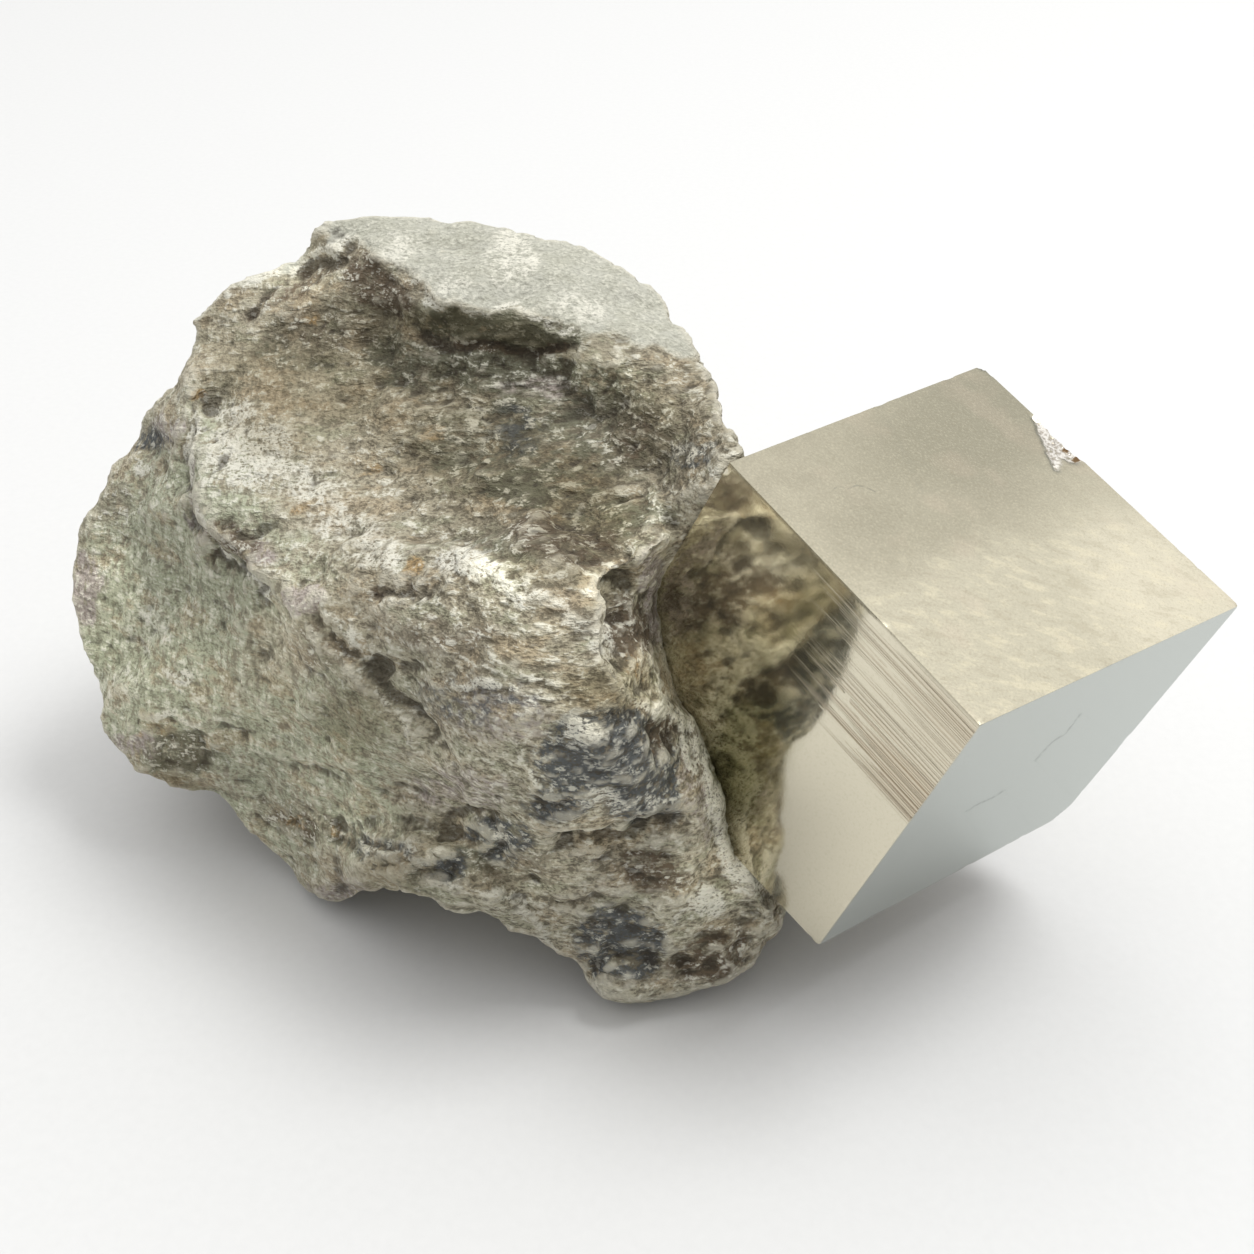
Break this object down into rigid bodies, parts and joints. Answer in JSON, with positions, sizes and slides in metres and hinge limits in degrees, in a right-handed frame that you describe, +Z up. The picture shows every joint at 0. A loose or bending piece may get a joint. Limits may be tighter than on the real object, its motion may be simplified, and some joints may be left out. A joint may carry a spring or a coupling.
{
  "type": "mineral specimen",
  "caption": "Brassy pyrite crystal, a sharp cube, grown into a rough lump of grey-green foliated marl that rests on low feet.",
  "frame": {"origin": "on the table, under the middle of the specimen's bounding box", "axes": "+X from the stone toward the crystal, +Y to the back, +Z up"},
  "size_m": [0.0852, 0.0562, 0.0447],
  "materials": {
    "pyrite": "satin",
    "marl": "matte"
  },
  "bodies": {
    "root": {"pyrite_cube": "pyrite", "matrix_rock": "marl"}
  },
  "joints": []
}
